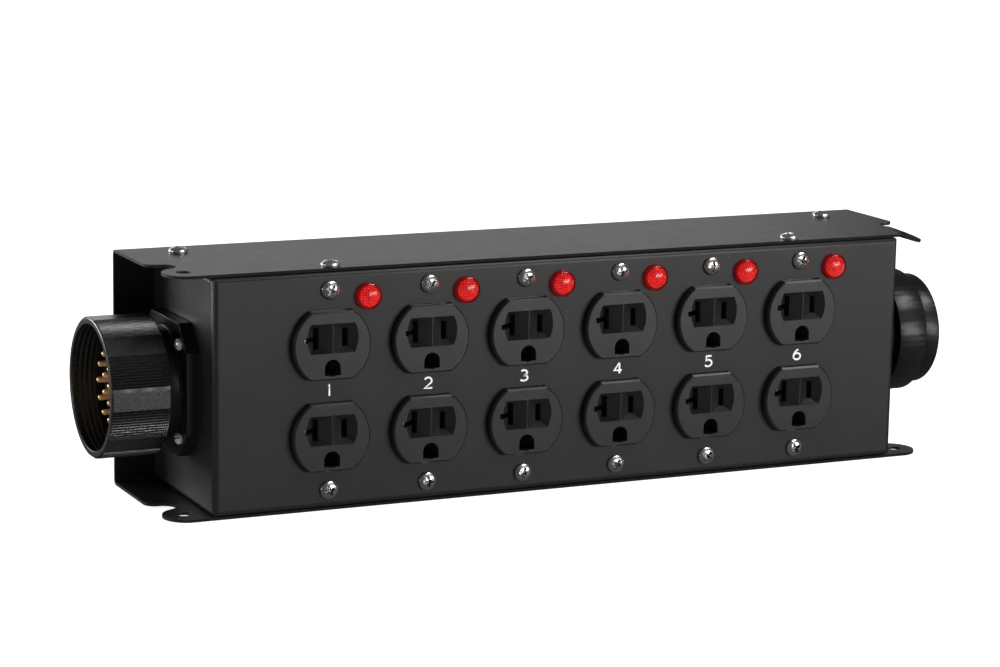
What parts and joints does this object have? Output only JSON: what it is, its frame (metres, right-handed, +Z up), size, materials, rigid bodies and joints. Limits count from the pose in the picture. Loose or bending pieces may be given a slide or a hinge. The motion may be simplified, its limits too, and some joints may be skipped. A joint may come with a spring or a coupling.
{
  "type": "portable power distribution box",
  "caption": "Portable power distribution box: black sheet-steel case with duplex receptacles, indicator lamps, a multi-pin inlet with turning coupling ring and a pass-through outlet.",
  "frame": {"origin": "centre of the enclosure's underside, midway between the end panels and between the front and back faces", "axes": "+X to the pass-through outlet's end, receptacles face -Y, +Z up"},
  "size_m": [0.3936, 0.0788, 0.1033],
  "materials": {
    "pan_powder_coat": "satin black powder coat, fine texture",
    "cover_powder_coat": "satin black powder coat, fine texture",
    "cover_screw_steel": "nickel-plated steel",
    "nut_steel": "zinc-plated steel",
    "device_screw_steel": "nickel-plated steel",
    "device_face_nylon": "moulded black nylon, fine satin",
    "device_base_nylon": "moulded black thermoplastic",
    "strap_steel": "galvanised steel",
    "contact_brass": "bright stamped brass",
    "neutral_brass": "tinned brass",
    "hot_screw_brass": "brass-plated steel",
    "neutral_screw_nickel": "nickel-plated steel",
    "ground_screw_green": "green-dyed screw",
    "lens_red": "translucent red, prismatic",
    "lamp_body_nylon": "moulded black nylon",
    "clip_steel": "spring steel",
    "neon_glass": "clear glass lamp",
    "gasket_rubber": "black rubber",
    "connector_anodised": "black anodised alloy, satin",
    "ring_anodised": "black anodised alloy, knurled",
    "insert_plastic": "black thermoset insert",
    "pin_gold": "gold-plated",
    "retainer_steel": "spring steel",
    "connector_screw_steel": "nickel-plated steel",
    "lug_copper": "tinned copper",
    "wire_hot": "black PVC insulation",
    "wire_neutral": "white PVC insulation",
    "wire_ground": "green PVC insulation"
  },
  "bodies": {
    "root": {"front_pan": "pan_powder_coat", "rear_cover": "cover_powder_coat", "cover_screws_top": "cover_screw_steel", "cover_screws_bottom": "cover_screw_steel", "cover_weld_nuts": "nut_steel", "inlet_nuts": "nut_steel", "outlet_nuts": "nut_steel", "ground_stud_nuts": "nut_steel", "ground_stud": "nut_steel", "receptacle_screws": "device_screw_steel", "receptacle_face_1": "device_face_nylon", "receptacle_base_1": "device_base_nylon", "receptacle_strap_1": "strap_steel", "lamp_lens_1": "lens_red", "receptacle_face_2": "device_face_nylon", "receptacle_base_2": "device_base_nylon", "receptacle_strap_2": "strap_steel", "lamp_lens_2": "lens_red", "receptacle_face_3": "device_face_nylon", "receptacle_base_3": "device_base_nylon", "receptacle_strap_3": "strap_steel", "lamp_lens_3": "lens_red", "receptacle_face_4": "device_face_nylon", "receptacle_base_4": "device_base_nylon", "receptacle_strap_4": "strap_steel", "lamp_lens_4": "lens_red", "receptacle_face_5": "device_face_nylon", "receptacle_base_5": "device_base_nylon", "receptacle_strap_5": "strap_steel", "lamp_lens_5": "lens_red", "receptacle_face_6": "device_face_nylon", "receptacle_base_6": "device_base_nylon", "receptacle_strap_6": "strap_steel", "lamp_lens_6": "lens_red", "hot_contacts": "contact_brass", "ground_contacts": "contact_brass", "neutral_contacts": "neutral_brass", "hot_terminal_screws": "hot_screw_brass", "neutral_terminal_screws": "neutral_screw_nickel", "ground_terminal_screws": "ground_screw_green", "lamp_bodies": "lamp_body_nylon", "lamp_clips": "clip_steel", "neon_bulbs": "neon_glass", "inlet_gasket": "gasket_rubber", "outlet_gasket": "gasket_rubber", "inlet_shell": "connector_anodised", "outlet_shell": "connector_anodised", "inlet_insert": "insert_plastic", "outlet_insert": "insert_plastic", "inlet_pins": "pin_gold", "outlet_sockets": "pin_gold", "ring_retainer": "retainer_steel", "inlet_screws": "connector_screw_steel", "outlet_screws": "connector_screw_steel", "ground_lug": "lug_copper", "hot_wires": "wire_hot", "neutral_wires": "wire_neutral", "ground_wires": "wire_ground"},
    "coupling": {"coupling_ring": "ring_anodised"}
  },
  "joints": [
    {"name": "coupling_turn", "type": "hinge", "parent": "root", "child": "coupling", "pos_m": [-0.18, 0.0056, 0.0494], "axis": [-1, 0, 0], "continuous": true}
  ]
}
